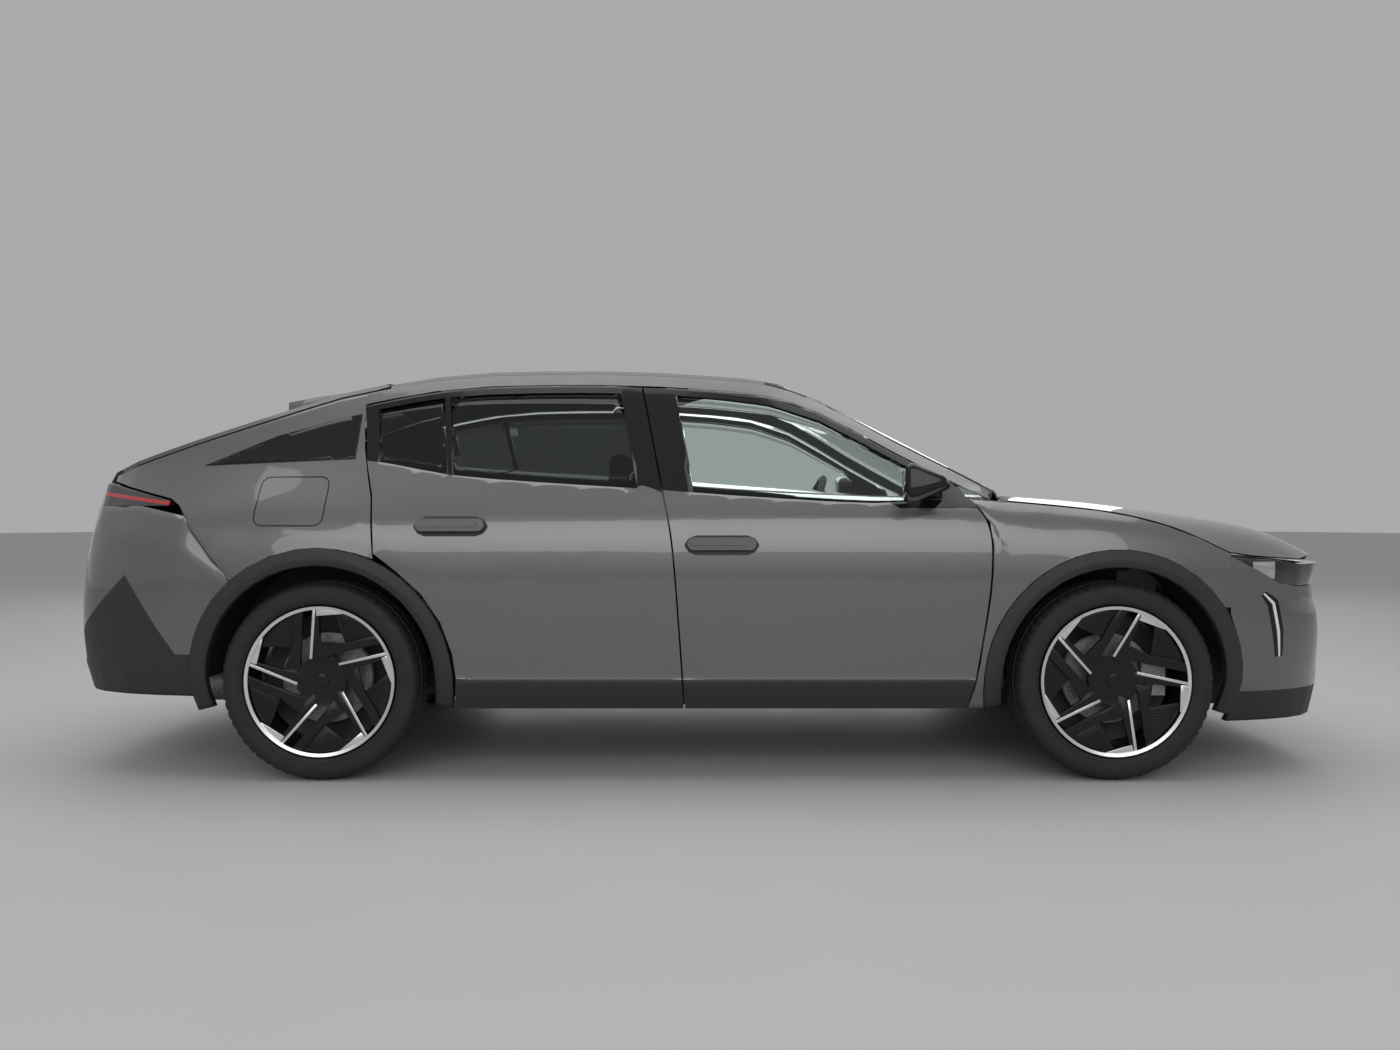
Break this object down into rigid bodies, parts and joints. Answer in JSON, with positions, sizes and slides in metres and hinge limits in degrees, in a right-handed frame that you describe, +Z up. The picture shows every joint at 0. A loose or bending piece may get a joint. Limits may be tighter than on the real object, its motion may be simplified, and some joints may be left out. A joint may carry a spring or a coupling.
{
  "type": "fastback crossover car",
  "caption": "Five-door fastback crossover with hinged doors, bonnet and tailgate, steered front wheels and rolling wheels.",
  "frame": {"origin": "middle of the car's box, on the ground under the tyres", "axes": "+X forward, +Y to the car's left, +Z up"},
  "size_m": [4.6908, 2.071, 1.4896],
  "materials": {
    "paint": "metallic warm grey with clear coat",
    "dark_plastic": "grained satin",
    "gloss_black": "gloss",
    "clear_glass": "polished",
    "privacy_glass": "polished",
    "lamp_clear": "polished",
    "lamp_red": "gloss",
    "tyre": "satin",
    "rim": "machined face with gloss black",
    "chassis": "painted",
    "interior": "dark cloth",
    "cabin_plastic": "soft grain"
  },
  "bodies": {
    "shell": {"floor_pan": "chassis", "side_frame_left": "paint", "side_frame_right": "paint", "quarter_left": "paint", "quarter_right": "paint", "roof_panel": "paint", "fender_left": "paint", "fender_right": "paint", "front_bumper": "paint", "grille": "gloss_black", "rear_bumper": "paint", "arch_cladding": "dark_plastic", "wheel_liners": "dark_plastic", "windscreen": "clear_glass", "headlamps": "lamp_clear", "tail_lamps": "lamp_red", "dashboard": "cabin_plastic", "front_seats": "interior", "rear_seat": "interior", "engine_block": "chassis", "front_subframe": "chassis", "rear_axle": "chassis", "exhaust": "chassis"},
    "bonnet": {"bonnet": "paint"},
    "tailgate": {"tailgate": "paint", "rear_window": "privacy_glass"},
    "door_front_left": {"door_front_left": "paint", "glass_front_left": "clear_glass", "mirror_left": "gloss_black"},
    "door_front_right": {"door_front_right": "paint", "glass_front_right": "clear_glass", "mirror_right": "gloss_black"},
    "door_rear_left": {"door_rear_left": "paint", "glass_rear_left": "privacy_glass"},
    "door_rear_right": {"door_rear_right": "paint", "glass_rear_right": "privacy_glass"},
    "knuckle_left": {"knuckle_left": "chassis"},
    "knuckle_right": {"knuckle_right": "chassis"},
    "wheel_front_left": {"rim_front_left": "rim", "tyre_front_left": "tyre"},
    "wheel_front_right": {"rim_front_right": "rim", "tyre_front_right": "tyre"},
    "wheel_rear_left": {"rim_rear_left": "rim", "tyre_rear_left": "tyre"},
    "wheel_rear_right": {"rim_rear_right": "rim", "tyre_rear_right": "tyre"},
    "steering_wheel": {"steering_wheel": "cabin_plastic"}
  },
  "joints": [
    {"name": "steer_left", "type": "hinge", "parent": "shell", "child": "knuckle_left", "pos_m": [1.455, 0.7, 0.35], "axis": [0, 0, 1], "range_deg": [-35, 35]},
    {"name": "steer_right", "type": "hinge", "parent": "shell", "child": "knuckle_right", "pos_m": [1.455, -0.7, 0.35], "axis": [0, 0, 1], "range_deg": [-35, 35]},
    {"name": "steering_wheel_turn", "type": "hinge", "parent": "shell", "child": "steering_wheel", "pos_m": [0.49245, 0.37, 0.93], "axis": [-0.9135, 0, 0.4067], "range_deg": [-490, 490]},
    {"name": "spin_front_left", "type": "hinge", "parent": "knuckle_left", "child": "wheel_front_left", "pos_m": [1.455, 0.778, 0.35], "axis": [0, 1, 0], "continuous": true},
    {"name": "spin_front_right", "type": "hinge", "parent": "knuckle_right", "child": "wheel_front_right", "pos_m": [1.455, -0.778, 0.35], "axis": [0, 1, 0], "continuous": true},
    {"name": "spin_rear_left", "type": "hinge", "parent": "shell", "child": "wheel_rear_left", "pos_m": [-1.335, 0.778, 0.35], "axis": [0, 1, 0], "continuous": true},
    {"name": "spin_rear_right", "type": "hinge", "parent": "shell", "child": "wheel_rear_right", "pos_m": [-1.335, -0.778, 0.35], "axis": [0, 1, 0], "continuous": true},
    {"name": "open_front_left", "type": "hinge", "parent": "shell", "child": "door_front_left", "pos_m": [1.06206, 0.871, 0.7], "axis": [0, 0, -1], "range_deg": [0, 65]},
    {"name": "open_front_right", "type": "hinge", "parent": "shell", "child": "door_front_right", "pos_m": [1.06206, -0.871, 0.7], "axis": [0, 0, 1], "range_deg": [0, 65]},
    {"name": "open_rear_left", "type": "hinge", "parent": "shell", "child": "door_rear_left", "pos_m": [-0.03737, 0.871, 0.7], "axis": [0, 0, -1], "range_deg": [0, 65]},
    {"name": "open_rear_right", "type": "hinge", "parent": "shell", "child": "door_rear_right", "pos_m": [-0.03737, -0.871, 0.7], "axis": [0, 0, 1], "range_deg": [0, 65]},
    {"name": "open_bonnet", "type": "hinge", "parent": "shell", "child": "bonnet", "pos_m": [1.06998, 0, 0.97564], "axis": [0, -1, 0], "range_deg": [0, 50]},
    {"name": "open_tailgate", "type": "hinge", "parent": "shell", "child": "tailgate", "pos_m": [-1.15695, 0, 1.42728], "axis": [0, 1, 0], "range_deg": [0, 75]}
  ],
  "couplings": [
    {"joint": "steer_right", "follows": "steer_left", "ratio": 1},
    {"joint": "steering_wheel_turn", "follows": "steer_left", "ratio": 14}
  ]
}
